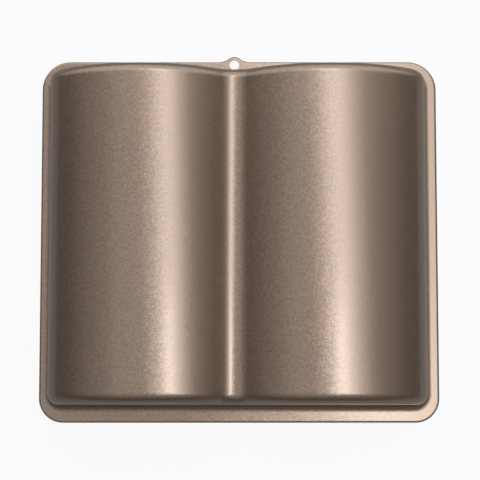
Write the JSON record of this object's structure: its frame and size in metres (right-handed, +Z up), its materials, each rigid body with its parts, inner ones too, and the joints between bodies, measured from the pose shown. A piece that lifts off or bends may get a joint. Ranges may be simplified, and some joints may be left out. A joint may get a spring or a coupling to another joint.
{
  "type": "shaped baking pan",
  "caption": "Open-book shaped cake pan in pressed non-stick steel: half-barrel pages with a spine valley, drafted walls, flat rim, turned lip and hanging tab.",
  "frame": {"origin": "middle of the whole outline, tab included, in the plane that the lip stands on with the pan mouth down", "axes": "+X across the two pages to the right, +Y from the foot of the pages to the head where the hanging tab is, +Z up towards the crests of the pages"},
  "size_m": [0.28, 0.2598, 0.06],
  "materials": {
    "nonstick_steel": "champagne-bronze metallic non-stick coat with fine sparkle, satin"
  },
  "bodies": {
    "root": {"pan_shell": "nonstick_steel"}
  },
  "joints": []
}
